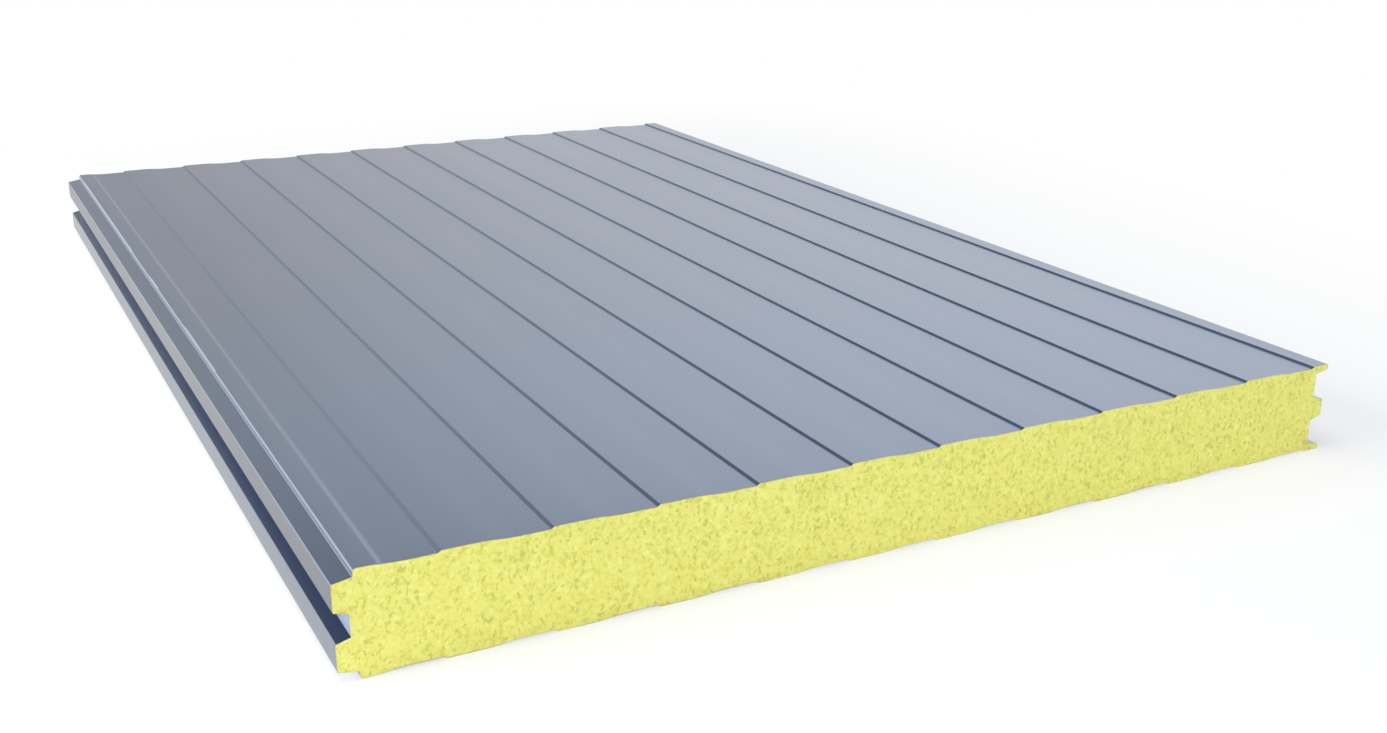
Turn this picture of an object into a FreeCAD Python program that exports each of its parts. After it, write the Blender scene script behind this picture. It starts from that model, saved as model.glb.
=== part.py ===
import FreeCAD, Part
import math
import os
from collections import namedtuple

# Insulated wall panel: two roll-formed steel facings bonded to a rigid foam core. One long edge
# has a tongue between two recesses and two overhanging lips. The other has the matching groove
# between two noses, so that panels lock side by side. The facings stop short of each other in the
# joint, where foil tape covers the foam.
#
# Millimetres. X is across the panel, with the lips at +X. Y is along it. Z is through its
# thickness, with the outer facing on top. The origin is under the middle of the panel, level with
# the inner facing's crests.

# The panel
LENGTH = 1690.0
COVER_WIDTH = 1100.0  # from one panel's joint to the next one's
THICKNESS = 100.0  # over the crests of both facings
SHEET = 0.5  # thickness of the steel
FOIL = 0.2  # thickness of the tape

# The ribs, the same on both facings
RIB_COUNT = 11  # they share the cover width evenly, and so run on evenly over the joint
RIB_DEPTH = 2.0
CREST_WIDTH = 52.0  # from the middle of one ramp to the middle of the next
RISE_WIDTH = 3.5  # run of the steep ramp up to a crest
FALL_WIDTH = 22.0  # run of the gentle ramp down to a valley
RISE_BEND = 2.0  # inside radius of the sheet beside a steep ramp
FALL_BEND = 200.0  # inside radius of the sheet beside a gentle ramp

# The edge with the lips and the tongue
LIP_CREST = 23.0  # from the middle of the last ramp to the tip of the lip
LIP_REACH = 17.0  # how far a lip stands out past the recess wall
LIP_ROOT = 9.2  # thickness of a lip at the recess wall
LIP_TIP = 6.2
LIP_CURL = 2.5  # inside radius where the sheet curls back under the lip
TONGUE_REACH = 15.0
TONGUE_ROOT = 27.2  # height of the tongue at the recess wall
TONGUE_TIP = 18.6
STEP_BEND = 3.0  # inside radius of the sheet over the step beside the shelf
JOINT_BEND = 1.0  # inside radius of the sheet at the joint's other bends

# The clearances left between two panels that are pushed together
TONGUE_END_GAP = 1.2  # tip of the tongue to the root of the groove: the first to close
TONGUE_SIDE_GAP = 1.2
NOSE_GAP = 2.7  # nose to recess wall
LIP_END_GAP = 4.0  # tip of the lip to the step beside the shelf
SHELF_GAP = 1.6  # lip to the shelf under it

# Places across the section, from the middle of the first rising ramp
RIB_PITCH = COVER_WIDTH / RIB_COUNT
LAST_RISE_X = COVER_WIDTH - RIB_PITCH
LIP_X = LAST_RISE_X + LIP_CREST
WALL_X = LIP_X - LIP_REACH
TONGUE_X = WALL_X + TONGUE_REACH
NOSE_X = WALL_X + NOSE_GAP - COVER_WIDTH
ROOT_X = TONGUE_X + TONGUE_END_GAP - COVER_WIDTH
STEP_X = LIP_X + LIP_END_GAP - COVER_WIDTH
MIDDLE_X = (NOSE_X + LIP_X) / 2

# Heights in the section, from the middle of its thickness
CREST_Z = THICKNESS / 2
VALLEY_Z = CREST_Z - RIB_DEPTH

# A corner of the sheet's outer surface before bending, and the inside radius it is bent to
Corner = namedtuple("Corner", "x z bend")


def tongue_top(x):
    """Height of the tongue's upper side, as far along as x."""
    taper = (TONGUE_ROOT - TONGUE_TIP) / 2 / TONGUE_REACH
    return TONGUE_ROOT / 2 - taper * (x - WALL_X)


def lip_underside(x):
    """Height of the upper lip's underside, as far along as x."""
    taper = (LIP_ROOT - LIP_TIP) / LIP_REACH
    return CREST_Z - LIP_ROOT + taper * (x - WALL_X)


def groove_corner(x):
    """A corner of the groove's upper side, clear of the next panel's tongue."""
    return Corner(x, tongue_top(x + COVER_WIDTH) + TONGUE_SIDE_GAP, JOINT_BEND)


def shelf_corner(x):
    """A corner of the shelf, clear of the next panel's lip."""
    return Corner(x, lip_underside(x + COVER_WIDTH) - SHELF_GAP, JOINT_BEND)


def ramp(x, width, z_from, z_to, bend):
    """The two bends of a ramp with its middle at x."""
    return [Corner(x - width / 2, z_from, bend), Corner(x + width / 2, z_to, bend)]


def rib_corners():
    """The bends of all the ramps, from the first falling one to the last rising one."""
    corners = []
    for rib in range(RIB_COUNT):
        rise_x = rib * RIB_PITCH
        fall_x = rise_x - RIB_PITCH + CREST_WIDTH
        corners += ramp(fall_x, FALL_WIDTH, CREST_Z, VALLEY_Z, FALL_BEND)
        corners += ramp(rise_x, RISE_WIDTH, VALLEY_Z, CREST_Z, RISE_BEND)
    return corners


def facing_corners():
    """The outer facing's outer surface, from the root of the groove to the tip of the tongue.

    The foam is always to the right of this path.
    """
    groove_edge = [
        groove_corner(ROOT_X),
        groove_corner(NOSE_X),
        shelf_corner(NOSE_X),
        shelf_corner(STEP_X),
        Corner(STEP_X, CREST_Z, STEP_BEND),
    ]
    tongue_edge = [
        Corner(LIP_X, CREST_Z, JOINT_BEND),
        Corner(LIP_X, lip_underside(LIP_X), LIP_CURL),
        Corner(WALL_X, lip_underside(WALL_X), JOINT_BEND),
        Corner(WALL_X, tongue_top(WALL_X), JOINT_BEND),
        Corner(TONGUE_X - FOIL, tongue_top(TONGUE_X), JOINT_BEND),
    ]
    return groove_edge + rib_corners() + tongue_edge


def point(x, z):
    """A place in the section, at the panel's front end."""
    return FreeCAD.Vector(x - MIDDLE_X, -LENGTH / 2, z + CREST_Z)


def step(start, angle, distance):
    """The point that is some way from another, at an angle from +X towards +Z."""
    return start + FreeCAD.Vector(math.cos(angle), 0, math.sin(angle)) * distance


def heading(start, end):
    """Angle of the path from one corner to the next."""
    return math.atan2(end.z - start.z, end.x - start.x)


def end_point(end, angle, depth):
    """Where a line at some depth in the sheet meets the sheet's upright end."""
    return point(end.x, end.z - depth / math.cos(angle))


def bend_points(before, corner, after, depth):
    """Start, middle and end of the bend at a corner, for a line at some depth in the sheet."""
    angle_in = heading(before, corner)
    angle_out = heading(corner, after)
    turn = math.remainder(angle_out - angle_in, 2 * math.pi)
    right = angle_in + turn / 2 - math.pi / 2
    corner_point = step(point(corner.x, corner.z), right, depth / math.cos(turn / 2))
    if turn > 0:
        radius = corner.bend + depth
        inwards = right + math.pi
    else:
        radius = corner.bend + SHEET - depth
        inwards = right
    tangent = radius * math.tan(abs(turn) / 2)
    start = step(corner_point, angle_in, -tangent)
    middle = step(corner_point, inwards, radius / math.cos(turn / 2) - radius)
    end = step(corner_point, angle_out, tangent)
    return start, middle, end


def sheet_line(corners, depth):
    """The line that follows the sheet at some depth below its outer surface."""
    edges = []
    here = end_point(corners[0], heading(corners[0], corners[1]), depth)
    for before, corner, after in zip(corners, corners[1:], corners[2:]):
        start, middle, end = bend_points(before, corner, after, depth)
        edges.append(Part.makeLine(here, start))
        edges.append(Part.Arc(start, middle, end).toShape())
        here = end
    last_angle = heading(corners[-2], corners[-1])
    edges.append(Part.makeLine(here, end_point(corners[-1], last_angle, depth)))
    return Part.Wire(edges)


def ends_of(line):
    """First and last point of a sheet line."""
    return line.OrderedVertexes[0].Point, line.OrderedVertexes[-1].Point


def mirrored(shape):
    """The shape's mirror image, on the other side of the middle of the panel."""
    return shape.mirror(point(0, 0), FreeCAD.Vector(0, 0, 1))


def extruded(lines):
    """The solid whose section is bounded by these lines, in any order."""
    edges = Part.sortEdges([edge for line in lines for edge in line.Edges])[0]
    return Part.Face(Part.Wire(edges)).extrude(FreeCAD.Vector(0, LENGTH, 0))


def make_facing(surface, back):
    """The outer facing, between the line of its outer surface and the line of its bonded back."""
    surface_root, surface_tip = ends_of(surface)
    back_root, back_tip = ends_of(back)
    tip_end = Part.makeLine(surface_tip, back_tip)
    root_end = Part.makeLine(back_root, surface_root)
    return extruded([surface, tip_end, back, root_end])


def make_foil(x, half_height):
    """The tape on a face of the foam, x being its left-hand side."""
    corner = point(x, -half_height)
    return Part.makeBox(FOIL, LENGTH, 2 * half_height, corner)


def make_core(back):
    """The foam, between the backs of the two facings and between the tapes."""
    root, tip = ends_of(back)
    low_root = mirrored_point(root)
    tape = FreeCAD.Vector(FOIL, 0, 0)
    root_line = Part.makePolygon([low_root, low_root + tape, root + tape, root])
    tip_line = Part.makeLine(tip, mirrored_point(tip))
    return extruded([back, tip_line, mirrored(back), root_line])


def mirrored_point(place):
    """The point on the other side of the middle of the panel."""
    return FreeCAD.Vector(place.x, place.y, THICKNESS - place.z)


def make_panel():
    """Every piece of the panel, by name."""
    corners = facing_corners()
    surface = sheet_line(corners, 0)
    back = sheet_line(corners, SHEET)
    surface_tip = ends_of(surface)[1]
    back_root = ends_of(back)[0]
    outer_facing = make_facing(surface, back)
    return {
        "outer_facing": outer_facing,
        "inner_facing": mirrored(outer_facing),
        "foam_core": make_core(back),
        "groove_foil": make_foil(ROOT_X, back_root.z - CREST_Z),
        "tongue_foil": make_foil(TONGUE_X - FOIL, surface_tip.z - CREST_Z),
    }


os.makedirs("parts", exist_ok=True)
for name, piece in make_panel().items():
    piece.exportStep("parts/" + name + ".step")
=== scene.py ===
import math

import bmesh
import bpy
import numpy as np
from mathutils import Matrix, Vector
from mathutils.geometry import delaunay_2d_cdt


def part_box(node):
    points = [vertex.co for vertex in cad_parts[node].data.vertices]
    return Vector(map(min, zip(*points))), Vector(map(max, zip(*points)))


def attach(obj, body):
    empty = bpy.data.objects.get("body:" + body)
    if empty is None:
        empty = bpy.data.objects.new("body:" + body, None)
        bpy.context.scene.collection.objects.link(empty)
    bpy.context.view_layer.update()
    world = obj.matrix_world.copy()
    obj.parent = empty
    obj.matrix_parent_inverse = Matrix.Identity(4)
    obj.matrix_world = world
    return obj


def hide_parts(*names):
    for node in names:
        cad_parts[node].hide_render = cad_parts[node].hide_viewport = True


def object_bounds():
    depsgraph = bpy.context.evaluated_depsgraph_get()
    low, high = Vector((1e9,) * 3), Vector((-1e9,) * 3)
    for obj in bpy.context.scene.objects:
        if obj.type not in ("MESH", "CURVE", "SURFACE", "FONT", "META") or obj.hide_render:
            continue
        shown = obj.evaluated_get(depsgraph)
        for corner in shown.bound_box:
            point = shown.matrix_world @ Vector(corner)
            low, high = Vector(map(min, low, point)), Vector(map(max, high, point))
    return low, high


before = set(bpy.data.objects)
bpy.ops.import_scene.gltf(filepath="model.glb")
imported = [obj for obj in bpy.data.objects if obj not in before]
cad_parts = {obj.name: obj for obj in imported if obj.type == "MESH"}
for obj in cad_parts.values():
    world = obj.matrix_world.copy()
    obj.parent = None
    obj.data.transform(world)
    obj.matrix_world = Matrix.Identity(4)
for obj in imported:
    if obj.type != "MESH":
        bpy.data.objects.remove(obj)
CAD_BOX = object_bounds()

bl_info = {
    "name": "Insulated sandwich panel",
    "version": (1, 0, 0),
    "blender": (4, 5, 0),
    "location": "View3D > Sidebar > Panel",
    "description": "Dresses an insulated building panel: steel facings, foam, edge tape and a studio",
    "category": "Object",
}

BODY = "root"
MM = 0.001
LOW = Vector(CAD_BOX[0])
HIGH = Vector(CAD_BOX[1])
SAME_PLACE = 1e-6  # points nearer than this, in metres, count as one
END_FACING = 0.9  # a face whose normal runs at least this much along the panel is on a cut end


# ---- sizes


def length(name, description, millimetres):
    """A size property in metres, with its default in millimetres."""
    return bpy.props.FloatProperty(
        name=name, description=description, default=millimetres * MM, min=0.0, unit="LENGTH", precision=5
    )


def whole_number(name, description, default):
    """A property that counts something."""
    return bpy.props.IntProperty(name=name, description=description, default=default, min=1)


def hex_colour(name, description, default):
    """A colour property, as sRGB hex."""
    return bpy.props.StringProperty(name=name, description=description, default=default)


class SheetSizes(bpy.types.PropertyGroup):
    """Sizes of the two steel facings."""

    sheet: length("Sheet", "Thickness of the steel", 0.5)
    rib_count: whole_number("Ribs", "Rising ramps on one facing", 11)
    rib_pitch: length("Rib pitch", "From one rib to the next", 100.0)
    rib_depth: length("Rib depth", "From a crest down to a valley", 2.0)
    crest_width: length("Crest width", "Between the middles of the ramps beside a crest", 52.0)
    lip_crest: length("Lip crest", "From the middle of the last steep ramp to the lip's tip", 23.0)
    rise_width: length("Rise width", "Run of a steep ramp up to a crest", 3.5)
    fall_width: length("Fall width", "Run of a gentle ramp down to a valley", 22.0)
    rib_bend: length("Rib bend", "Inside radius of the sheet beside a steep ramp", 2.0)
    fall_bend: length("Fall bend", "Radius of the sheet beside a gentle ramp", 200.0)
    step_bend: length("Step bend", "Inside radius of the sheet over the step", 3.0)
    bend_steps: whole_number("Bend steps", "Faces across one bend", 6)
    flat_from: length("Flat from", "A stretch longer than this counts as a flat", 12.0)
    flat_cuts: whole_number("Flat cuts", "Cuts across a flat", 3)
    rows: whole_number("Rows", "Faces along the panel", 56)
    wave_height: length("Wave height", "How far the rolled sheet wanders inwards", 0.16)
    wave_length: length("Wave length", "Across the panel, from one slack place to the next", 190.0)


class JointSizes(bpy.types.PropertyGroup):
    """Sizes of the two long edges, where panels lock together."""

    lip_reach: length("Lip reach", "How far a lip stands out past the recess wall", 17.0)
    lip_root: length("Lip root", "Thickness of a lip at the recess wall", 9.2)
    lip_tip: length("Lip tip", "Thickness of a lip at its tip", 6.2)
    lip_curl: length("Lip curl", "Inside radius where the sheet curls back under the lip", 2.5)
    tongue_reach: length("Tongue reach", "How far the tongue stands out past the recess wall", 15.0)
    tongue_root: length("Tongue root", "Height of the tongue at the recess wall", 27.2)
    tongue_tip: length("Tongue tip", "Height of the tongue at its tip", 18.6)
    bend: length("Bend", "Inside radius of the joint's other bends", 1.0)
    tape: length("Tape", "Thickness of the edge tape", 0.2)
    cover_width: length("Cover width", "From one panel's joint to the next one's", 1100.0)
    tongue_end_gap: length("Tongue end gap", "Tongue tip to groove root", 1.2)
    tongue_side_gap: length("Tongue side gap", "Tongue to groove side", 1.2)
    nose_gap: length("Nose gap", "Nose to recess wall", 2.7)
    lip_end_gap: length("Lip end gap", "Lip tip to the step beside the shelf", 4.0)
    shelf_gap: length("Shelf gap", "Lip to shelf", 1.6)


class FoamSizes(bpy.types.PropertyGroup):
    """Sizes of the torn cells on the foam's two cut ends."""

    facet: length("Facet", "Spacing of the points on a cut end", 1.8)
    stations: whole_number("Stations", "Stretches of foam along the panel, from end to end", 8)
    cell_width: length("Cell width", "Width of a torn cell", 3.8)
    cell_stretch: bpy.props.FloatProperty(
        name="Cell stretch",
        description="Height of a cell over its width, because foam rises between the facings",
        default=1.7,
    )
    cell_depth: length("Cell depth", "Depth of an ordinary torn cell", 1.0)
    swell_width: length("Swell width", "Width of the saw's slow wander over the cut", 16.0)
    swell_depth: length("Swell depth", "Depth of that wander", 0.9)
    pit_width: length("Pit width", "Spacing of the deeper pits", 8.0)
    pit_depth: length("Pit depth", "Depth of a deeper pit", 1.5)
    rim: length("Rim", "Band along the facings where the cut stays level", 1.2)
    seed: whole_number("Seed", "Another number gives other cells", 7)


class Colours(bpy.types.PropertyGroup):
    """Colours, as sRGB hex."""

    paint: hex_colour("Paint", "Coil coating on the facings", "A6B1C4")
    # The groove colour is painted shade: the coating darkened and blued where the groove lies in shadow
    groove: hex_colour("Groove", "Coil coating inside the groove", "66738F")
    foam: hex_colour("Foam", "Face of the cut foam", "F0EC81")
    # Foam pits and holes are painted shade in the foam's hollows; foam flecks are its pale torn walls,
    # partly a painted highlight
    foam_pit: hex_colour("Foam pits", "Depth of the torn cells", "D3D269")
    foam_hole: hex_colour("Foam holes", "Bottom of the torn holes", "C4C25E")
    foam_fleck: hex_colour("Foam flecks", "Torn cell walls", "F7F69C")
    tape: hex_colour("Tape", "Foil tape on the long edges", "C8D8EA")
    steel_edge: hex_colour("Steel edge", "Cut edge of the steel, under foam dust", "CFCE8E")
    floor: hex_colour("Floor", "Studio floor", "F7F7F8")


# ---- shared helpers


def linear(code, level=1.0):
    """The linear colour of an sRGB hex value, with alpha 1."""
    channels = []
    for place in (0, 2, 4):
        value = int(code[place : place + 2], 16) / 255
        value = value / 12.92 if value <= 0.04045 else ((value + 0.055) / 1.055) ** 2.4
        channels.append(value * level)
    return (*channels, 1.0)


def feed(node, inputs):
    """Gives a node inputs by name or number: a constant, a socket or a node's first output."""
    for key, value in inputs.items():
        if isinstance(value, bpy.types.Node):
            value = value.outputs[0]
        if isinstance(value, bpy.types.NodeSocket):
            node.id_data.links.new(value, node.inputs[key])
        else:
            node.inputs[key].default_value = value


def add(tree, kind, inputs=None, **settings):
    """Adds a node with these settings and inputs."""
    node = tree.nodes.new(kind)
    for name, value in settings.items():
        setattr(node, name, value)
    feed(node, inputs or {})
    return node


def new_tree(name, **sockets):
    """A geometry tree with these input names for each kind of socket, and the inputs themselves."""
    tree = bpy.data.node_groups.new(name, "GeometryNodeTree")
    tree.interface.new_socket("Geometry", in_out="OUTPUT", socket_type="NodeSocketGeometry")
    for kind, names in {"Geometry": ["Geometry"], **sockets}.items():
        for socket in names:
            tree.interface.new_socket(socket, in_out="INPUT", socket_type="NodeSocket" + kind)
    return tree, tree.nodes.new("NodeGroupInput").outputs


def end_tree(tree, geometry, material):
    """Ends a geometry tree in one real mesh with its material."""
    whole = add(tree, "GeometryNodeRealizeInstances", {0: geometry})
    coated = add(tree, "GeometryNodeSetMaterial", {"Geometry": whole, "Material": material})
    add(tree, "NodeGroupOutput", {0: coated})


def run_tree(piece, tree, values):
    """Puts the tree on the piece, with its inputs set by identifier before anything is evaluated."""
    modifier = piece.modifiers.new(tree.name, "NODES")
    modifier.node_group = tree
    for item in tree.interface.items_tree:
        if item.in_out == "INPUT" and item.name in values:
            modifier[item.identifier] = values[item.name]


def sizes_of(group):
    """The group's sizes, each under the name of the tree input that takes it: rib_pitch is Rib Pitch."""
    return {name.replace("_", " ").title(): getattr(group, name) for name in type(group).__annotations__}


def made_plain(piece):
    """Turns the piece's modifiers into a plain mesh."""
    graph = bpy.context.evaluated_depsgraph_get()
    mesh = bpy.data.meshes.new_from_object(piece.evaluated_get(graph), depsgraph=graph)
    piece.modifiers.clear()
    old = piece.data
    piece.data = mesh
    mesh.name = piece.name
    bpy.data.meshes.remove(old)
    return mesh


def new_object(name, data):
    """An object at the origin, in the scene."""
    thing = bpy.data.objects.new(name, data)
    bpy.context.scene.collection.objects.link(thing)
    return thing


def hand_over(piece, slot, *nodes):
    """The piece rides on the panel and stands for these CAD nodes; the slot is not used."""
    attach(piece, BODY)
    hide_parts(*nodes)


# ---- materials


# Places on the groove edge, by depth behind the noses' faces and height off the panel's middle
NOSE_FACE = 0.7 * MM  # where the faces of the noses end
MOUTH = 15 * MM  # half the height of the groove's mouth
NOSE_END = 39 * MM  # where the upper nose bends onto the shelf
GROOVE_ROOT = 19 * MM  # how deep the painted shade inside the groove reaches
NOSE_SHADE = (0.55, 0.79)  # how much painted shade darkens the lower and the upper nose


def new_material(name):
    """A material with only its shader and output, and Object coordinates."""
    material = bpy.data.materials.new(name)
    material.use_nodes = True
    tree = material.node_tree
    place = add(tree, "ShaderNodeTexCoord").outputs["Object"]
    return material, tree, tree.nodes["Principled BSDF"], place


def masked(tree, *steps):
    """The product of soft steps, each with what is measured, where it starts and ends, and its range."""
    share = 1.0
    for value, start, end, low, high in steps:
        step = add(tree, "ShaderNodeMapRange", {0: value, 1: start, 2: end, 3: low, 4: high})
        share = add(tree, "ShaderNodeMath", {0: share, 1: step}, operation="MULTIPLY")
    return share


def coil_coating(colours):
    """Polyester coil coating on galvanised steel, rolled on wet and baked: satin, and very even."""
    material, tree, shader, place = new_material("coil_coating")
    # The coater leaves the faintest lengthwise streaks, 60 mm wide, and slow drifts of tone, 400 mm wide
    streak_width, drift_width, squeeze = 60 * MM, 400 * MM, 0.12
    stretched = add(tree, "ShaderNodeMapping", {"Vector": place, "Scale": (1.0, squeeze, 1.0)})
    patterns = [
        add(tree, "ShaderNodeTexNoise", {"Vector": stretched, "Scale": 1 / width, "Detail": 0.0})
        for width in (streak_width, drift_width)
    ]
    both = add(tree, "ShaderNodeMath", dict(enumerate(patterns)), operation="ADD")
    tone = add(tree, "ShaderNodeMapRange", {"Value": both, "From Min": 0.5, "From Max": 1.5})
    gloss = add(tree, "ShaderNodeMapRange", {"Value": tone, "To Min": 0.24, "To Max": 0.28})
    darker, lighter = linear(colours.paint, 0.96), linear(colours.paint, 1.04)
    paint = add(tree, "ShaderNodeMix", {0: tone, 6: darker, 7: lighter}, data_type="RGBA").outputs[2]

    # Painted shade darkens the noses, most the upper one, and a dark bluish painted shade fills the
    # groove
    across, _, up = add(tree, "ShaderNodeSeparateXYZ", {0: place}).outputs
    behind = add(tree, "ShaderNodeMath", {0: across, 1: LOW.x}, operation="SUBTRACT")
    above = add(tree, "ShaderNodeMath", {0: up, 1: (LOW.z + HIGH.z) / 2}, operation="SUBTRACT")
    off_middle = add(tree, "ShaderNodeMath", {0: above}, operation="ABSOLUTE")
    noses = masked(
        tree,
        (behind, NOSE_FACE, NOSE_FACE - 0.4 * MM, 0.0, 1.0),
        (off_middle, MOUTH - MM, MOUTH, 0.0, 1.0),
        (off_middle, NOSE_END, NOSE_END - 0.6 * MM, 0.0, 1.0),
        (above, -MM, MM, *NOSE_SHADE),
    )
    groove = masked(
        tree,
        (behind, NOSE_FACE, NOSE_FACE + MM, 0.0, 1.0),
        (off_middle, MOUTH + MM, MOUTH, 0.0, 1.0),
        (behind, GROOVE_ROOT + MM, GROOVE_ROOT, 0.0, 1.0),
    )
    for share, tint in ((noses, linear("000000")), (groove, linear(colours.groove))):
        paint = add(tree, "ShaderNodeMix", {0: share, 6: paint, 7: tint}, data_type="RGBA").outputs[2]
    feed(shader, {"Base Color": paint, "Roughness": gloss, "Metallic": 0.94})
    return material


def cut_steel(colours):
    """Galvanised steel where the saw went through: dull, and dusted yellow with foam."""
    material, tree, shader, place = new_material("cut_galvanised_steel")
    # Saw marks are finer than the sheet is thick, and are drawn coarser, 0.6 mm wide
    mark_width = 0.6 * MM
    marks = add(tree, "ShaderNodeTexNoise", {"Vector": place, "Scale": 1 / mark_width, "Detail": 1.0})
    gloss = add(tree, "ShaderNodeMapRange", {"Value": marks, "To Min": 0.35, "To Max": 0.6})
    feed(shader, {"Base Color": linear(colours.steel_edge), "Roughness": gloss, "Metallic": 0.3})
    return material


def cut_foam(colours):
    """Rigid polyurethane foam, sawn: chalky, with torn cells and holes darkened by painted shade, and
    pale broken walls that are partly a painted highlight.
    """
    material, tree, shader, place = new_material("cut_polyurethane_foam")
    depth = add(tree, "ShaderNodeAttribute", attribute_name="torn").outputs["Fac"]
    # Single cells are under 0.5 mm, so their mottle and the torn holes are drawn coarser, to show. The
    # holes are about 2 mm wide and 3 mm tall, ragged, and lie closer in some places, 30 mm wide
    hole_width, hole_squeeze, patch_width, patch_share = 4 * MM, 0.68, 30 * MM, 0.25
    mottle_width, grain_depth = 4.6 * MM, MM
    tall = add(tree, "ShaderNodeMapping", {"Vector": place, "Scale": (1.0, 1.0, hole_squeeze)})
    ragged, patch, mottle = (
        add(
            tree,
            "ShaderNodeTexNoise",
            {"Vector": where, "Scale": 1 / width, "Detail": detail, "Distortion": distortion},
        )
        for where, width, detail, distortion in (
            (tall, hole_width, 1.0, 0.6),
            (place, patch_width, 1.0, 0.0),
            (place, mottle_width, 3.0, 0.5),
        )
    )
    holes = add(tree, "ShaderNodeMath", {0: patch, 1: patch_share, 2: ragged}, operation="MULTIPLY_ADD")
    # Flecks on the grain's ridges are partly a painted highlight; the pits in its hollows, the deeper
    # tears and the holes are painted shade
    # Each layer: its pattern, where it starts in that and is full, its strength then, and its colour
    colour = linear(colours.foam)
    for pattern, start, full, most, tint in (
        (mottle, 0.52, 0.70, 0.8, colours.foam_fleck),
        (mottle, 0.48, 0.32, 0.6, colours.foam_pit),
        (depth, 0.35, 0.95, 0.8, colours.foam_pit),
        (holes, 0.525, 0.42, 0.62, colours.foam_hole),
    ):
        limits = {0: pattern, 1: start, 2: full, 3: 0.0, 4: most}
        share = add(tree, "ShaderNodeMapRange", limits, interpolation_type="SMOOTHSTEP")
        layers = {0: share, 6: colour, 7: linear(tint)}
        colour = add(tree, "ShaderNodeMix", layers, data_type="RGBA").outputs[2]
    # The last share is the holes', which lie lower than the cell walls
    grain = add(tree, "ShaderNodeMath", {0: mottle, 1: share}, operation="SUBTRACT")
    bump = add(tree, "ShaderNodeBump", {"Strength": 0.45, "Distance": grain_depth, "Height": grain})
    feed(shader, {"Base Color": colour, "Normal": bump, "Roughness": 0.95, "IOR": 1.3})
    return material


def edge_tape(colours):
    """Aluminium foil tape, pressed on by rollers: bright, with shallow creases."""
    material, tree, shader, place = new_material("aluminium_foil_tape")
    # Creases run mostly along the tape, about 6 mm apart
    crease_width, crease_depth, squeeze = 6 * MM, 0.5 * MM, 0.25
    stretched = add(tree, "ShaderNodeMapping", {"Vector": place, "Scale": (1.0, squeeze, 1.0)})
    creases = add(tree, "ShaderNodeTexNoise", {"Vector": stretched, "Scale": 1 / crease_width})
    bump = add(tree, "ShaderNodeBump", {"Strength": 0.4, "Distance": crease_depth, "Height": creases})
    gloss = add(tree, "ShaderNodeMapRange", {"Value": creases, "To Min": 0.15, "To Max": 0.3})
    colour = linear(colours.tape)
    feed(shader, {"Base Color": colour, "Normal": bump, "Roughness": gloss, "Metallic": 0.4})
    return material


# ---- facings


RIB_CORNERS = 4  # corners of the section in one rib

# How a facing is shaded. A lean is in degrees from its flats, towards the groove edge
FALL_KEEPS = 0.12  # how much of its lean a gentle ramp keeps, as a share
RIB_ZONE = 3 * MM  # depth under the crests that holds the ribs
BEND_LEAN = 21.0  # bends that lean up to this beside a steep ramp are shaded like the flats
FOLD_LEAN = -10.0  # the fold where the first gentle ramp was rolled, a little sharper than the others
FOLD_REACH = 0.5 * MM  # half the width of that fold
STEP_ZONE = (40 * MM, 6.5 * MM)  # how far in and how deep the step beside the shelf reaches
# Faces of the step whose lean is from the first angle to the second are shaded at the third
STEP_BANDS = ((2.0, 37.5, 0.0), (37.5, 85.0, 53.0), (85.0, 100.0, 90.0))
SHEET_CREASE = 35  # an edge of the sheet that turns by more than this stays sharp, in degrees


def joint_corners(sheet, joint):
    """The outer facing's corners at the groove edge and at the tongue edge, as (x, z, outer radius)."""
    middle = (LOW.z + HIGH.z) / 2
    wall = HIGH.x - joint.lip_reach
    tip = wall + joint.tongue_reach
    nose = wall + joint.nose_gap - joint.cover_width
    root = tip + joint.tongue_end_gap - joint.cover_width
    step = HIGH.x + joint.lip_end_gap - joint.cover_width
    tongue_taper = (joint.tongue_root - joint.tongue_tip) / 2 / joint.tongue_reach
    lip_taper = (joint.lip_root - joint.lip_tip) / joint.lip_reach
    inner = joint.bend
    outer = joint.bend + sheet.sheet

    def tongue_top(x):
        return middle + joint.tongue_root / 2 - tongue_taper * (x - wall)

    def lip_underside(x):
        return HIGH.z - joint.lip_root + lip_taper * (x - wall)

    def groove_side(x):
        return tongue_top(x + joint.cover_width) + joint.tongue_side_gap

    def shelf(x):
        return lip_underside(x + joint.cover_width) - joint.shelf_gap

    groove_edge = [
        (root, groove_side(root), 0.0),
        (nose, groove_side(nose), outer),
        (nose, shelf(nose), outer),
        (step, shelf(step), inner),
        (step, HIGH.z, sheet.step_bend + sheet.sheet),
    ]
    tongue_edge = [
        (HIGH.x, HIGH.z, outer),
        (HIGH.x, lip_underside(HIGH.x), joint.lip_curl + sheet.sheet),
        (wall, lip_underside(wall), inner),
        (wall, tongue_top(wall), inner),
        (tip - joint.tape, tongue_top(tip), 0.0),
    ]
    return groove_edge, tongue_edge


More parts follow.
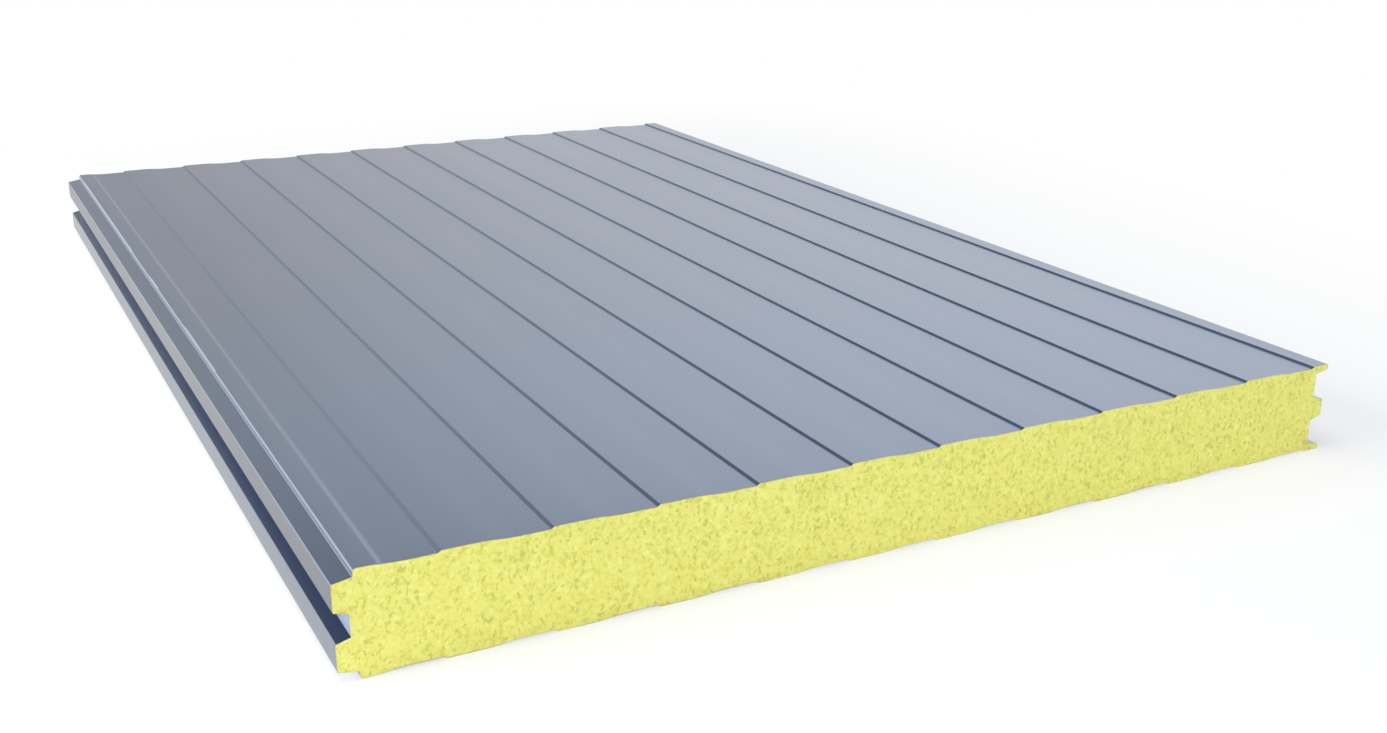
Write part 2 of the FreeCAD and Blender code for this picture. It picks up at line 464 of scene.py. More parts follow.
def rib_corners(tree, got, number):
    """Place and bend of the ribs' numbered corners: down a gentle ramp, then up a steep one."""
    rib = add(tree, "ShaderNodeMath", {0: number, 1: RIB_CORNERS}, operation="DIVIDE")
    rib = add(tree, "ShaderNodeMath", {0: rib}, operation="FLOOR")
    earlier = add(tree, "ShaderNodeMath", {0: rib, 1: RIB_CORNERS}, operation="MULTIPLY")
    corner = add(tree, "ShaderNodeMath", {0: number, 1: earlier}, operation="SUBTRACT")
    run = add(tree, "ShaderNodeMath", {0: rib, 1: got["Rib Pitch"]}, operation="MULTIPLY")
    rise = add(tree, "ShaderNodeMath", {0: got["First Rise"], 1: run}, operation="ADD")
    last_rise = add(tree, "ShaderNodeMath", {0: rise, 1: got["Rib Pitch"]}, operation="SUBTRACT")
    fall = add(tree, "ShaderNodeMath", {0: last_rise, 1: got["Crest Width"]}, operation="ADD")
    places = []
    for middle, width in ((fall, got["Fall Width"]), (rise, got["Rise Width"])):
        half = add(tree, "ShaderNodeMath", {0: width, 1: 0.5}, operation="MULTIPLY")
        for side in ("SUBTRACT", "ADD"):
            places.append(add(tree, "ShaderNodeMath", {0: middle, 1: half}, operation=side))
    crest = got["Crest Height"]
    valley = add(tree, "ShaderNodeMath", {0: crest, 1: got["Rib Depth"]}, operation="SUBTRACT")
    heights = [crest, valley, valley, crest]
    bends = [got["Fall Bend"], got["Fall Bend"], got["Rib Bend"], got["Crest Bend"]]
    chosen = []
    for values in (places, heights, bends):
        chooser = add(tree, "GeometryNodeIndexSwitch", data_type="FLOAT")
        while len(chooser.index_switch_items) < RIB_CORNERS:
            chooser.index_switch_items.new()
        feed(chooser, dict(enumerate([corner, *values])))
        chosen.append(chooser)
    across, up, bend = chosen
    return add(tree, "ShaderNodeCombineXYZ", {"X": across, "Z": up}), bend


def bent_section(tree, got):
    """The section as a curve along the groove edge, the ribs and the tongue edge, with its bends."""
    index = add(tree, "GeometryNodeInputIndex")
    position = add(tree, "GeometryNodeInputPosition")
    bend_given = add(tree, "GeometryNodeInputNamedAttribute", {"Name": "bend"}, data_type="FLOAT")
    given = add(tree, "GeometryNodeAttributeDomainSize", {0: got["Geometry"]})
    in_ribs = add(tree, "ShaderNodeMath", {0: got["Rib Count"], 1: RIB_CORNERS}, operation="MULTIPLY")
    corners = add(tree, "ShaderNodeMath", {0: given, 1: in_ribs}, operation="ADD")
    line = add(tree, "GeometryNodeMeshLine", {"Count": corners})

    # The two long edges' corners come before and after the ribs'. The halves fall between two corners
    number = add(tree, "ShaderNodeMath", {0: index, 1: got["Groove Corners"]}, operation="SUBTRACT")
    before = add(tree, "ShaderNodeMath", {0: number, 1: -0.5}, operation="LESS_THAN")
    last = add(tree, "ShaderNodeMath", {0: in_ribs, 1: 0.5}, operation="SUBTRACT")
    after = add(tree, "ShaderNodeMath", {0: number, 1: last}, operation="GREATER_THAN")
    on_edge = add(tree, "ShaderNodeMath", {0: before, 1: after}, operation="ADD")
    skipped = add(tree, "ShaderNodeMath", {0: after, 1: in_ribs}, operation="MULTIPLY")
    edge_index = add(tree, "ShaderNodeMath", {0: index, 1: skipped}, operation="SUBTRACT")
    rib_place, rib_bend = rib_corners(tree, got, number)
    chosen = []
    for on_rib, given_there, sampled_as, switched_as in (
        (rib_place, position, "FLOAT_VECTOR", "VECTOR"),
        (rib_bend, bend_given, "FLOAT", "FLOAT"),
    ):
        source = {"Geometry": got["Geometry"], "Value": given_there, "Index": edge_index}
        sampled = add(tree, "GeometryNodeSampleIndex", source, data_type=sampled_as)
        choice = {"Switch": on_edge, "False": on_rib, "True": sampled}
        chosen.append(add(tree, "GeometryNodeSwitch", choice, input_type=switched_as))
    place, bend = chosen
    stored = {"Geometry": line, "Name": "bend", "Value": bend}
    line = add(tree, "GeometryNodeStoreNamedAttribute", stored, data_type="FLOAT", domain="POINT")
    line = add(tree, "GeometryNodeSetPosition", {"Geometry": line, "Position": place})
    path = add(tree, "GeometryNodeMeshToCurve", {0: line})
    bends = {"Curve": path, "Radius": bend_given, "Limit Radius": True, "Count": got["Bend Steps"]}
    bent = add(tree, "GeometryNodeFilletCurve", bends, mode="POLY")

    # Cuts across the long flats only
    following = add(tree, "ShaderNodeMath", {0: index, 1: 1.0}, operation="ADD")
    next_place = {"Index": following, "Value": position}
    next_place = add(tree, "GeometryNodeFieldAtIndex", next_place, data_type="FLOAT_VECTOR")
    run = add(tree, "ShaderNodeVectorMath", {0: position, 1: next_place}, operation="DISTANCE")
    flat = {0: run.outputs["Value"], 1: got["Flat From"]}
    flat = add(tree, "ShaderNodeMath", flat, operation="GREATER_THAN")
    cuts = add(tree, "ShaderNodeMath", {0: flat, 1: got["Flat Cuts"]}, operation="MULTIPLY")
    return add(tree, "GeometryNodeSubdivideCurve", {"Curve": bent, "Cuts": cuts})


def rolled_out(tree, got, section):
    """The section run out along the panel, as a grid with one column for each of its points."""
    index = add(tree, "GeometryNodeInputIndex")
    position = add(tree, "GeometryNodeInputPosition")
    points = add(tree, "GeometryNodeAttributeDomainSize", {0: section}, component="CURVE")
    in_column = add(tree, "ShaderNodeMath", {0: got["Rows"], 1: 1.0}, operation="ADD")
    grid = add(tree, "GeometryNodeMeshGrid", {"Vertices X": points, "Vertices Y": in_column})
    column = add(tree, "ShaderNodeMath", {0: index, 1: 0.5}, operation="ADD")
    column = add(tree, "ShaderNodeMath", {0: column, 1: in_column}, operation="DIVIDE")
    column = add(tree, "ShaderNodeMath", {0: column}, operation="FLOOR")
    earlier = add(tree, "ShaderNodeMath", {0: column, 1: in_column}, operation="MULTIPLY")
    row = add(tree, "ShaderNodeMath", {0: index, 1: earlier}, operation="SUBTRACT")
    source = {"Geometry": section, "Value": position, "Index": column}
    across = add(tree, "GeometryNodeSampleIndex", source, data_type="FLOAT_VECTOR")
    step = add(tree, "ShaderNodeMath", {0: got["Length"], 1: got["Rows"]}, operation="DIVIDE")
    run = add(tree, "ShaderNodeMath", {0: row, 1: step}, operation="MULTIPLY")
    run = add(tree, "ShaderNodeMath", {0: got["Front"], 1: run}, operation="ADD")
    along = add(tree, "ShaderNodeCombineXYZ", {"Y": run})
    place = add(tree, "ShaderNodeVectorMath", {0: across, 1: along}, operation="ADD")
    return add(tree, "GeometryNodeSetPosition", {"Geometry": grid, "Position": place})


def slackened(tree, got, sheet):
    """The sheet as rolling leaves it, never quite flat: it wanders in by a part of its own thickness."""
    squeeze = (1.0, 0.45, 1.0)
    position = add(tree, "GeometryNodeInputPosition")
    place = add(tree, "ShaderNodeVectorMath", {0: position, 1: squeeze}, operation="MULTIPLY")
    scale = add(tree, "ShaderNodeMath", {0: 1.0, 1: got["Wave Length"]}, operation="DIVIDE")
    wave = {"Vector": place, "W": got["Seed"], "Scale": scale, "Detail": 1.0}
    wave = add(tree, "ShaderNodeTexNoise", wave, noise_dimensions="4D")
    outwards = add(tree, "ShaderNodeMath", {0: wave, 1: got["Wave Height"]}, operation="MULTIPLY")
    inwards = add(tree, "ShaderNodeMath", {0: outwards, 1: -1.0}, operation="MULTIPLY")
    normal = add(tree, "GeometryNodeInputNormal")
    shift = add(tree, "ShaderNodeVectorMath", {0: normal, "Scale": inwards}, operation="SCALE")
    wavy = add(tree, "GeometryNodeSetPosition", {"Geometry": sheet, "Offset": shift})
    return add(tree, "GeometryNodeSetShadeSmooth", {0: wavy})


def sheet_tree():
    """A tree that rolls a sheet: its section, then its length, then its slack."""
    ribs = ("First Rise", "Rib Pitch", "Rib Depth", "Crest Height", "Crest Width")
    bends = ("Rise Width", "Fall Width", "Rib Bend", "Crest Bend", "Fall Bend", "Flat From")
    sheet = ("Front", "Length", "Wave Height", "Wave Length", "Seed")
    tree, got = new_tree(
        "rolled_sheet",
        Float=ribs + bends + sheet,
        Int=("Groove Corners", "Rib Count", "Bend Steps", "Flat Cuts", "Rows"),
        Material=("Material",),
    )
    section = bent_section(tree, got)
    end_tree(tree, slackened(tree, got, rolled_out(tree, got, section)), got["Material"])
    return tree


def first_rise(sheet):
    """Where the first steep ramp is, across the panel."""
    return HIGH.x - sheet.lip_crest - (sheet.rib_count - 1) * sheet.rib_pitch


def make_facing(name, node, materials, sheet, joint, seed, turned_over):
    """One facing: the rolled sheet given its thickness, and turned over for the inner side."""
    groove_edge, tongue_edge = joint_corners(sheet, joint)
    corners = bpy.data.meshes.new(name + "_corners")
    corners.from_pydata([(x, 0.0, z) for x, z, radius in groove_edge + tongue_edge], [], [])
    bend = corners.attributes.new("bend", "FLOAT", "POINT")
    bend.data.foreach_set("value", [radius for x, z, radius in groove_edge + tongue_edge])
    piece = new_object(name, corners)
    run_tree(
        piece,
        bpy.data.node_groups.get("rolled_sheet") or sheet_tree(),
        {
            **sizes_of(sheet),
            "Groove Corners": len(groove_edge),
            "First Rise": first_rise(sheet),
            "Crest Height": HIGH.z,
            "Crest Bend": sheet.rib_bend + sheet.sheet,
            "Front": LOW.y,
            "Length": HIGH.y - LOW.y,
            "Seed": seed,
            "Material": materials[0],
        },
    )
    thick = piece.modifiers.new("thickness", "SOLIDIFY")
    thick.thickness = sheet.sheet
    thick.offset = -1.0
    thick.use_even_offset = True
    mesh = made_plain(piece)
    if turned_over:
        mesh.transform(Matrix.Translation((0, 0, LOW.z + HIGH.z)) @ Matrix.Scale(-1, 4, (0, 0, 1)))
        mesh.flip_normals()
    mesh.materials.clear()
    for material in materials:
        mesh.materials.append(material)
    for face in mesh.polygons:
        face.material_index = 1 if abs(face.normal.y) > END_FACING else 0
    mesh.set_sharp_from_angle(angle=math.radians(SHEET_CREASE))
    weighted = piece.modifiers.new("even_shading", "WEIGHTED_NORMAL")
    weighted.keep_sharp = True
    weighted.weight = 100
    settle_normals(made_plain(piece), sheet, -1.0 if turned_over else 1.0)
    hand_over(piece, "prepainted_steel", node)


def all_values(items, field, width, kind=np.float32):
    """A field of these mesh items, one row for each."""
    values = np.empty(width * len(items), kind)
    items.foreach_get(field, values)
    return values.reshape(-1, width)


def lean_of(normals, outwards):
    """How far normals lean from the facing's flats towards the groove edge, in degrees."""
    return np.degrees(np.arctan2(-normals[:, 0], outwards * normals[:, 2]))


def leaning(lean, outwards):
    """Normals that lean this far."""
    angle = np.radians(lean)
    return np.stack([-np.sin(angle), np.zeros_like(angle), outwards * np.cos(angle)], axis=-1)


def settle_normals(mesh, sheet, outwards):
    """Shades the ribs nearly like the flats, all but one fold, and the step in three bands."""
    normals = all_values(mesh.corner_normals, "vector", 3)
    point_numbers = all_values(mesh.loops, "vertex_index", 1, np.int32)[:, 0]
    points = all_values(mesh.vertices, "co", 3)[point_numbers]
    corner_counts = all_values(mesh.polygons, "loop_total", 1, np.int32)[:, 0]
    faces = np.repeat(all_values(mesh.polygon_normals, "vector", 3), corner_counts, axis=0)
    lean = lean_of(normals, outwards)
    depth = (HIGH.z - points[:, 2]) if outwards > 0 else (points[:, 2] - LOW.z)

    slope = math.degrees(math.atan(sheet.rib_depth / sheet.fall_width))
    on_fall = (lean < 0.0) & (lean > -slope - 1.0)
    normals[on_fall] = leaning(FALL_KEEPS * lean[on_fall], outwards)
    normals[(depth < RIB_ZONE) & (lean > 0.0) & (lean < BEND_LEAN)] = leaning(0.0, outwards)

    # The fold is where the bend at the top of the first gentle ramp ends
    first_fall = first_rise(sheet) - sheet.rib_pitch + sheet.crest_width
    bend_run = sheet.fall_bend * math.tan(math.radians(slope / 2)) * math.cos(math.radians(slope))
    fold = first_fall - sheet.fall_width / 2 + bend_run
    at_fold = (abs(points[:, 0] - fold) < FOLD_REACH) & (abs(lean) < slope + 1.0)
    normals[at_fold] = leaning(FOLD_LEAN, outwards)

    reach, height = STEP_ZONE
    on_step = (depth < height) & (points[:, 0] < LOW.x + reach)
    face_lean = lean_of(faces, outwards)
    for start, end, shaded in STEP_BANDS:
        normals[on_step & (face_lean > start) & (face_lean < end)] = leaning(shaded, outwards)
    mesh.normals_split_custom_set(normals.tolist())


# ---- foam core


SCATTER = 0.25  # how far a point on a cut end strays from its even place, as a share of the spacing
CLEAR_OF_EDGE = 0.6  # how near the outline such a point may lie, as a share of the spacing
FILL_TOLERANCE = 1e-7  # how near to each other, in metres, points are merged as the end is filled
FOAM_CREASE = 60  # an edge of the foam that turns by more than this stays sharp, in degrees

# What tears a cut end: the pattern, its settings, its name, and where in it the cut starts and is full
TEARS = (
    ("ShaderNodeTexVoronoi", {"voronoi_dimensions": "4D"}, "Cell", 0.15, 0.85),
    ("ShaderNodeTexNoise", {"noise_dimensions": "4D"}, "Swell", 0.30, 0.70),
    ("ShaderNodeTexVoronoi", {"voronoi_dimensions": "4D"}, "Pit", 0.32, 0.10),
)


def end_outline(node):
    """The outline of a node's flat end, in order, as (x, z)."""
    copy = bmesh.new()
    copy.from_mesh(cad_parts[node].data)
    bmesh.ops.remove_doubles(copy, verts=copy.verts, dist=SAME_PLACE)
    front = min(vertex.co.y for vertex in copy.verts)
    follows = {}
    for edge in copy.edges:
        at_front = all(abs(vertex.co.y - front) < SAME_PLACE for vertex in edge.verts)
        flat = [face for face in edge.link_faces if abs(face.normal.y) > END_FACING]
        if at_front and len(flat) == 1:
            a, b = (vertex.index for vertex in edge.verts)
            follows.setdefault(a, []).append(b)
            follows.setdefault(b, []).append(a)
    copy.verts.ensure_lookup_table()
    start = min(follows)
    loop = [start]
    here, last = follows[start][0], start
    while here != start:
        loop.append(here)
        here, last = next(v for v in follows[here] if v != last), here
    outline = np.array([(copy.verts[i].co.x, copy.verts[i].co.z) for i in loop])
    copy.free()
    return outline


def spaced_outline(outline, spacing):
    """The outline with points added, none further apart than the spacing."""
    points = []
    for start, end in zip(outline, np.roll(outline, -1, axis=0)):
        count = max(1, math.ceil(np.linalg.norm(end - start) / spacing))
        for k in range(count):
            points.append(start + (end - start) * k / count)
    return np.array(points)


def distance_and_side(points, outline):
    """For each point, how far the outline is and whether the point is inside it."""
    nearest = np.full(len(points), np.inf)
    inside = np.zeros(len(points), bool)
    x, z = points.T
    for (ax, az), (bx, bz) in zip(outline, np.roll(outline, -1, axis=0)):
        run = np.array([bx - ax, bz - az])
        along = np.clip(((x - ax) * run[0] + (z - az) * run[1]) / (run @ run), 0, 1)
        nearest = np.minimum(nearest, np.hypot(x - ax - along * run[0], z - az - along * run[1]))
        if az != bz:
            crosses = (az > z) != (bz > z)
            inside ^= crosses & (x < ax + (z - az) * run[0] / (bz - az))
    return nearest, inside


def end_triangles(outline, spacing, seed):
    """Points that fill the outline, its own first, their triangles, distances in, and its own count."""
    edge = spaced_outline(outline, spacing)
    low, high = outline.min(axis=0), outline.max(axis=0)
    row_step = spacing * math.sqrt(3) / 2
    rows = np.arange(low[1], high[1], row_step)
    grid = []
    for number, z in enumerate(rows):
        xs = np.arange(low[0] + (number % 2) * spacing / 2, high[0], spacing)
        grid.append(np.column_stack([xs, np.full(len(xs), z)]))
    grid = np.concatenate(grid)
    grid += np.random.default_rng(seed).uniform(-SCATTER, SCATTER, grid.shape) * spacing
    far, inside = distance_and_side(grid, outline)
    grid = grid[inside & (far > CLEAR_OF_EDGE * spacing)]
    points = np.concatenate([edge, grid])
    rim = [(k, (k + 1) % len(edge)) for k in range(len(edge))]
    filled = delaunay_2d_cdt([Vector(point) for point in points], rim, [], 1, FILL_TOLERANCE)
    places = np.array([tuple(point) for point in filled[0]])
    far = distance_and_side(places, outline)[0]
    return places, [tuple(face) for face in filled[2]], far, len(edge)


def foam_mesh(sizes):
    """The foam with finely divided cut ends, and each point's distance in and the end that it is on."""
    outline = end_outline("foam_core")
    places, faces, far, rim_count = end_triangles(outline, sizes.facet, sizes.seed)
    low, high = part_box("foam_core")
    stations = np.linspace(low[1], high[1], sizes.stations + 1)
    front = [(x, stations[0], z) for x, z in places]
    back = [(x, stations[-1], z) for x, z in places]
    between = [(x, y, z) for y in stations[1:-1] for x, z in places[:rim_count]]
    count = len(places)
    starts = [0, *range(2 * count, 2 * count + len(between), rim_count), count]
    rings = [range(start, start + rim_count) for start in starts]
    mesh_faces = faces + [tuple(count + v for v in reversed(face)) for face in faces]
    for ring, next_ring in zip(rings, rings[1:]):
        for k in range(rim_count):
            n = (k + 1) % rim_count
            mesh_faces.append((ring[k], ring[n], next_ring[n], next_ring[k]))
    mesh = bpy.data.meshes.new("foam_core")
    mesh.from_pydata(front + back + between, [], mesh_faces)
    level = np.zeros(len(between))
    side = np.ones(count)
    for name, values in (("reach", (far, far, level)), ("end", (side, -side, level))):
        attribute = mesh.attributes.new(name, "FLOAT", "POINT")
        attribute.data.foreach_set("value", np.concatenate(values).astype(np.float32))
    copy = bmesh.new()
    copy.from_mesh(mesh)
    bmesh.ops.recalc_face_normals(copy, faces=copy.faces)
    copy.to_mesh(mesh)
    copy.free()
    return mesh


def foam_tree():
    """A tree that tears the foam's cut ends inwards: cells, the saw's wander and deeper pits."""
    widths_and_depths = [f"{name} {size}" for _, _, name, _, _ in TEARS for size in ("Width", "Depth")]
    tree, got = new_tree(
        "torn_cells", Float=[*widths_and_depths, "Cell Stretch", "Rim", "Seed"], Material=["Material"]
    )
    position = add(tree, "GeometryNodeInputPosition")
    squash = add(tree, "ShaderNodeMath", {0: 1.0, 1: got["Cell Stretch"]}, operation="DIVIDE")
    squash = add(tree, "ShaderNodeCombineXYZ", {"X": 1.0, "Y": 1.0, "Z": squash})
    place = add(tree, "ShaderNodeVectorMath", {0: position, 1: squash}, operation="MULTIPLY")

    # The cells lean and swim a little, so that they don't read as a grid
    scale = add(tree, "ShaderNodeMath", {0: 0.5, 1: got["Cell Width"]}, operation="DIVIDE")
    drift = {"Vector": place, "W": got["Seed"], "Scale": scale}
    drift = add(tree, "ShaderNodeTexNoise", drift, noise_dimensions="4D").outputs["Color"]
    drift = add(tree, "ShaderNodeVectorMath", {0: drift, 1: (0.5, 0.5, 0.5)}, operation="SUBTRACT")
    drift = add(tree, "ShaderNodeVectorMath", {0: drift, "Scale": got["Cell Width"]}, operation="SCALE")
    place = add(tree, "ShaderNodeVectorMath", {0: place, 1: drift}, operation="ADD")

    cut, deepest = 0.0, 0.0
    for kind, settings, name, start, full in TEARS:
        depth = got[name + " Depth"]
        scale = add(tree, "ShaderNodeMath", {0: 1.0, 1: got[name + " Width"]}, operation="DIVIDE")
        pattern = add(tree, kind, {"Vector": place, "W": got["Seed"], "Scale": scale}, **settings)
        limits = {"Value": pattern, "From Min": start, "From Max": full}
        share = add(tree, "ShaderNodeMapRange", limits, interpolation_type="SMOOTHSTEP")
        cut = add(tree, "ShaderNodeMath", {0: share, 1: depth, 2: cut}, operation="MULTIPLY_ADD")
        deepest = add(tree, "ShaderNodeMath", {0: deepest, 1: depth}, operation="ADD")
    reach, end = (
        add(tree, "GeometryNodeInputNamedAttribute", {"Name": name}, data_type="FLOAT")
        for name in ("reach", "end")
    )
    limits = {"Value": reach, "From Min": 0.0, "From Max": got["Rim"]}
    level = add(tree, "ShaderNodeMapRange", limits, interpolation_type="SMOOTHSTEP")
    cut = add(tree, "ShaderNodeMath", {0: cut, 1: level}, operation="MULTIPLY")
    torn = add(tree, "ShaderNodeMath", {0: cut, 1: deepest}, operation="DIVIDE")
    stored = {"Geometry": got["Geometry"], "Name": "torn", "Value": torn}
    foam = add(tree, "GeometryNodeStoreNamedAttribute", stored, data_type="FLOAT", domain="POINT")
    along = add(tree, "ShaderNodeMath", {0: cut, 1: end}, operation="MULTIPLY")
    inwards = add(tree, "ShaderNodeCombineXYZ", {"Y": along})
    foam = add(tree, "GeometryNodeSetPosition", {"Geometry": foam, "Offset": inwards})
    end_tree(tree, foam, got["Material"])
    return tree


# ---- studio


# The lamps: name, place, what it points at, size in metres and power in watts
LAMPS = (
    ("overhead_light", (-1.4, -0.8, 4.8), (0.0, 0.0, 0.1), (2.5, 2.5), 110.0),
    ("left_light", (-4.2, 0.4, 2.3), (0.0, 0.0, 0.1), (3.2, 1.8), 190.0),
    ("front_light", (0.0, -6.0, 2.6), (0.0, -0.8, 0.05), (3.0, 2.0), 108.0),
)
# How bright the studio is, by the sine of the height over the horizon: the sine, how bright and how warm
DOME = (
    (0.00, 0.52, 0.04),
    (0.18, 0.84, 0.03),
    (0.27, 0.81, 0.00),
    (0.40, 1.04, -0.04),
    (0.55, 0.22, -0.40),
    (0.80, 0.22, -0.40),
    (0.97, 0.50, 0.00),
)
# The wall is dim, but for a bright stretch behind the panel to its right, another beyond its left edge,
# and a slightly darker one between. Each has its direction, where it starts and is full, as cosines, and
# how much it adds
DIM_WALL = 0.542
WALLS = (
    ((0.70, 0.71, 0.0), 0.76, 0.97, 0.60),
    ((-0.60, 0.80, 0.0), 0.84, 0.95, 1.00),
    ((-0.19, 0.88, 0.44), 0.93, 0.985, -0.06),
)
FLOOR_REACH = 60.0  # from the panel's middle to the backdrop, in metres
BACKDROP_HEIGHT = 6.5  # in metres, just over the horizon from any height that the panel is seen from
FLOOR_WHITE = (0.58, 1.0)  # how much of the floor is plain white beside the panel, and away from it
WHITE_AWAY = 0.9  # how far from the panel the floor is all white, in metres
WHITE = (1.0, 1.0, 1.0, 1.0)

# The camera stands off the front left corner and looks down along the panel
CAMERA_PLACE = (-0.8125, -1.9652, 0.6561)
CAMERA_DOWN = 18.9897  # how far below the horizon it looks, in degrees
CAMERA_RIGHT = 27.3961  # how far to the right of the panel's length it looks, in degrees
LENS = 40.4  # focal length in millimetres
SENSOR = 36.0  # width of the sensor in millimetres


def softbox(name, place, target, size, power):
    """A lamp at a place, turned to a target, and seen neither by the camera nor in the coating."""
    lamp = bpy.data.lights.new(name, "AREA")
    lamp.shape = "RECTANGLE"
    lamp.size, lamp.size_y = size
    lamp.energy = power
    holder = new_object(name, lamp)
    holder.location = place
    holder.rotation_euler = (Vector(target) - Vector(place)).to_track_quat("-Z", "Y").to_euler()
    holder.visible_camera = False
    holder.visible_glossy = False


def make_world():
    """A soft dome, brightest a quarter of the way up and dim overhead, with two bright walls."""
    world = bpy.data.worlds.new("studio")
    bpy.context.scene.world = world
    world.use_nodes = True
    tree = world.node_tree
    tree.nodes.clear()
    towards = add(tree, "ShaderNodeTexCoord").outputs["Generated"]
    height = add(tree, "ShaderNodeSeparateXYZ", {0: towards}).outputs["Z"]
    dome = add(tree, "ShaderNodeValToRGB", {0: height})
    ramp = dome.color_ramp
    ramp.interpolation = "EASE"
    while len(ramp.elements) < len(DOME):
        ramp.elements.new(1.0)
    for stop, (sine, bright, warmth) in zip(ramp.elements, DOME):
        stop.position = sine
        stop.color = (bright * (1 + warmth), bright, bright * (1 - warmth), 1.0)
    level = DIM_WALL
    for direction, start, full, more in WALLS:
        across = add(tree, "ShaderNodeVectorMath", {0: towards, 1: direction}, operation="DOT_PRODUCT")
        limits = {0: across.outputs["Value"], 1: start, 2: full, 3: 0.0, 4: more}
        wall = add(tree, "ShaderNodeMapRange", limits)
        level = add(tree, "ShaderNodeMath", {0: level, 1: wall}, operation="ADD")
    lit = add(tree, "ShaderNodeVectorMath", {0: dome, "Scale": level}, operation="SCALE")
    sky = add(tree, "ShaderNodeBackground", {"Color": lit})
    add(tree, "ShaderNodeOutputWorld", {0: sky})


def floor_material(colours):
    """Matt studio floor: plain white away from the panel, and partly its own shaded self beside it."""
    material, tree, shader, place = new_material("studio_floor")
    feed(shader, {"Base Color": linear(colours.floor), "Roughness": 0.9, "Specular IOR Level": 0.0})
    away = add(tree, "ShaderNodeVectorMath", {0: place}, operation="ABSOLUTE")
    away = add(tree, "ShaderNodeVectorMath", {0: away, 1: (HIGH.x, HIGH.y, 0.0)}, operation="SUBTRACT")
    away = add(tree, "ShaderNodeVectorMath", {0: away, 1: (0.0, 0.0, 0.0)}, operation="MAXIMUM")
    away = add(tree, "ShaderNodeVectorMath", {0: away}, operation="LENGTH").outputs["Value"]
    beside, far = FLOOR_WHITE
    limits = {0: away, 1: 0.0, 2: WHITE_AWAY, 3: beside, 4: far}
    white = add(tree, "ShaderNodeMapRange", limits, interpolation_type="SMOOTHSTEP")
    path = add(tree, "ShaderNodeLightPath").outputs
    seen = path["Is Camera Ray"]
    for ray in ("Is Glossy Ray", "Is Transmission Ray"):
        seen = add(tree, "ShaderNodeMath", {0: seen, 1: path[ray]}, operation="MAXIMUM")
    share = add(tree, "ShaderNodeMath", {0: seen, 1: white}, operation="MULTIPLY")
    glow = add(tree, "ShaderNodeEmission", {"Color": WHITE, "Strength": 1.0})
    blend = add(tree, "ShaderNodeMixShader", {0: share, 1: shader, 2: glow})
    feed(tree.nodes["Material Output"], {"Surface": blend})
    return material


def make_floor(colours):
    """A wide pale floor under the panel, with a low backdrop round it."""
    mesh = bpy.data.meshes.new("floor")
    corners = [(x * FLOOR_REACH, y * FLOOR_REACH) for x, y in ((-1, -1), (1, -1), (1, 1), (-1, 1))]
    points = [(x, y, z) for z in (0.0, BACKDROP_HEIGHT) for x, y in corners]
    backdrop = [((k + 1) % 4, k, k + 4, (k + 1) % 4 + 4) for k in range(4)]
    mesh.from_pydata(points, [], [(0, 1, 2, 3), *backdrop])
    mesh.materials.append(floor_material(colours))
    floor = new_object("floor", mesh)


def make_camera():
    """The camera, which the scene is then seen through."""
    data = bpy.data.cameras.new("camera")
    data.lens = LENS
    data.sensor_width = SENSOR
    data.sensor_fit = "HORIZONTAL"
    camera = new_object("camera", data)
    camera.location = CAMERA_PLACE
    camera.rotation_euler = (math.radians(90 - CAMERA_DOWN), 0.0, math.radians(-CAMERA_RIGHT))
    bpy.context.scene.camera = camera


# ---- operators


class PANEL_OT_facings(bpy.types.Operator):
    """Rolls the two ribbed steel facings"""

    bl_idname = "sandwich.facings"
    bl_label = "Steel facings"

    def execute(self, context):
        scene = context.scene
        materials = [coil_coating(scene.panel_colours), cut_steel(scene.panel_colours)]
        for name, node, seed, turned_over in (
            ("outer_sheet", "outer_facing", 1.0, False),
            ("inner_sheet", "inner_facing", 2.0, True),
        ):
            make_facing(name, node, materials, scene.panel_sheet, scene.panel_joint, seed, turned_over)
        return {"FINISHED"}


class PANEL_OT_foam(bpy.types.Operator):
    """Saws and tears the two ends of the foam core"""

    bl_idname = "sandwich.foam"
    bl_label = "Foam core"

    def execute(self, context):
        sizes = context.scene.panel_foam
        piece = new_object("cut_foam", foam_mesh(sizes))
        foam = cut_foam(context.scene.panel_colours)
        run_tree(piece, foam_tree(), {**sizes_of(sizes), "Seed": float(sizes.seed), "Material": foam})
        mesh = made_plain(piece)
        mesh.shade_smooth()
        mesh.set_sharp_from_angle(angle=math.radians(FOAM_CREASE))
        hand_over(piece, "rigid_foam", "foam_core")
        return {"FINISHED"}


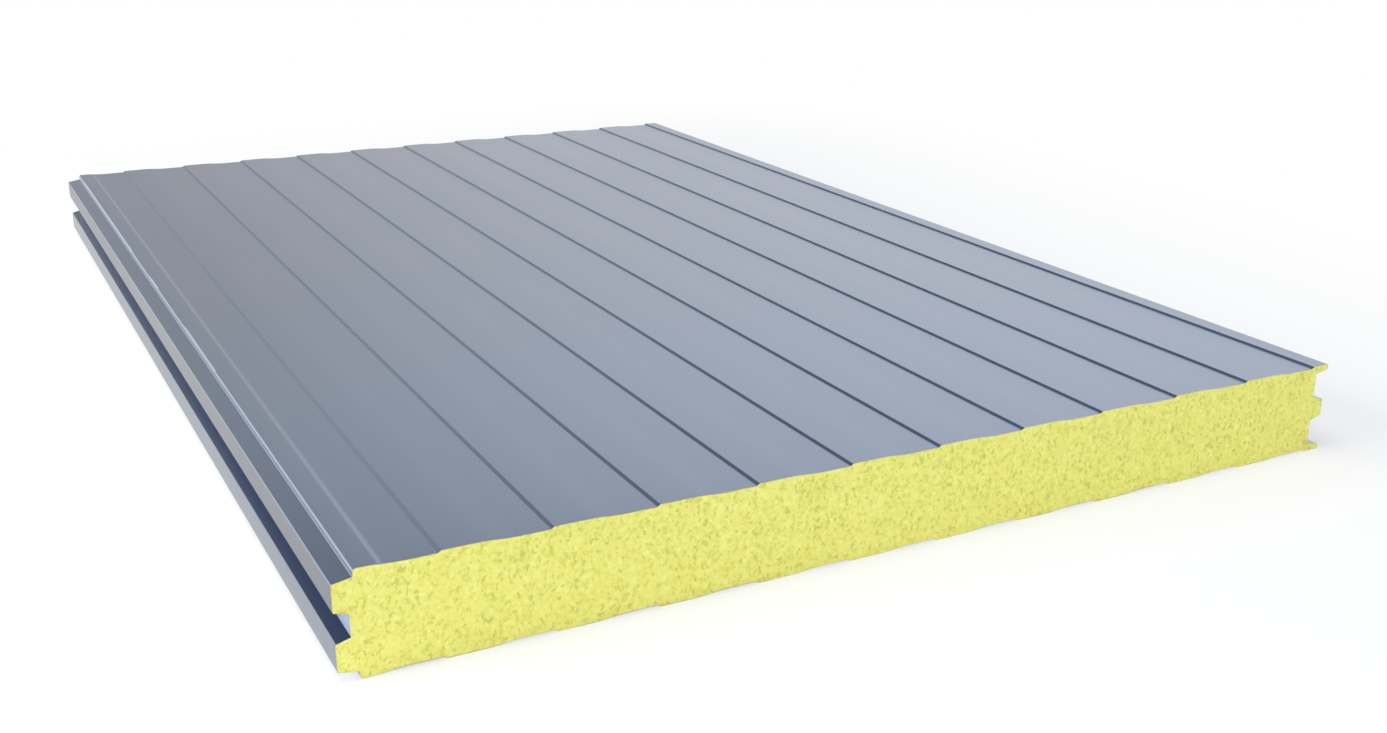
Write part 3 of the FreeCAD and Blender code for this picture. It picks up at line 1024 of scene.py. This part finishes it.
class PANEL_OT_tape(bpy.types.Operator):
    """Gives the two foil tapes their finish"""

    bl_idname = "sandwich.tape"
    bl_label = "Edge tape"

    def execute(self, context):
        material = edge_tape(context.scene.panel_colours)
        for node in ("groove_foil", "tongue_foil"):
            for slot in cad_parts[node].material_slots:
                slot.material = material
        return {"FINISHED"}


class PANEL_OT_studio(bpy.types.Operator):
    """Sets up the floor, the lamps and the camera"""

    bl_idname = "sandwich.studio"
    bl_label = "Studio"

    def execute(self, context):
        context.scene.view_settings.view_transform = "Standard"
        make_world()
        make_floor(context.scene.panel_colours)
        for lamp in LAMPS:
            softbox(*lamp)
        make_camera()
        return {"FINISHED"}


class PANEL_PT_sidebar(bpy.types.Panel):
    """Lists the panel's pieces and their sizes"""

    bl_idname = "PANEL_PT_sidebar"
    bl_label = "Sandwich panel"
    bl_space_type = "VIEW_3D"
    bl_region_type = "UI"
    bl_category = "Panel"

    def draw(self, context):
        layout = self.layout
        for operator in OPERATORS:
            layout.operator(operator.bl_idname)
        for group in GROUPS:
            box = layout.box()
            box.label(text=group.__doc__)
            for name in group.__annotations__:
                box.prop(getattr(context.scene, GROUPS[group]), name)


GROUPS = {
    SheetSizes: "panel_sheet",
    JointSizes: "panel_joint",
    FoamSizes: "panel_foam",
    Colours: "panel_colours",
}
OPERATORS = (PANEL_OT_facings, PANEL_OT_foam, PANEL_OT_tape, PANEL_OT_studio)


def register():
    for group, name in GROUPS.items():
        bpy.utils.register_class(group)
        setattr(bpy.types.Scene, name, bpy.props.PointerProperty(type=group))
    for kind in (*OPERATORS, PANEL_PT_sidebar):
        bpy.utils.register_class(kind)


def unregister():
    for kind in reversed((*OPERATORS, PANEL_PT_sidebar)):
        bpy.utils.unregister_class(kind)
    for group, name in GROUPS.items():
        delattr(bpy.types.Scene, name)
        bpy.utils.unregister_class(group)


def main():
    register()
    bpy.ops.sandwich.facings()
    bpy.ops.sandwich.foam()
    bpy.ops.sandwich.tape()
    bpy.ops.sandwich.studio()


if __name__ == "__main__":
    main()
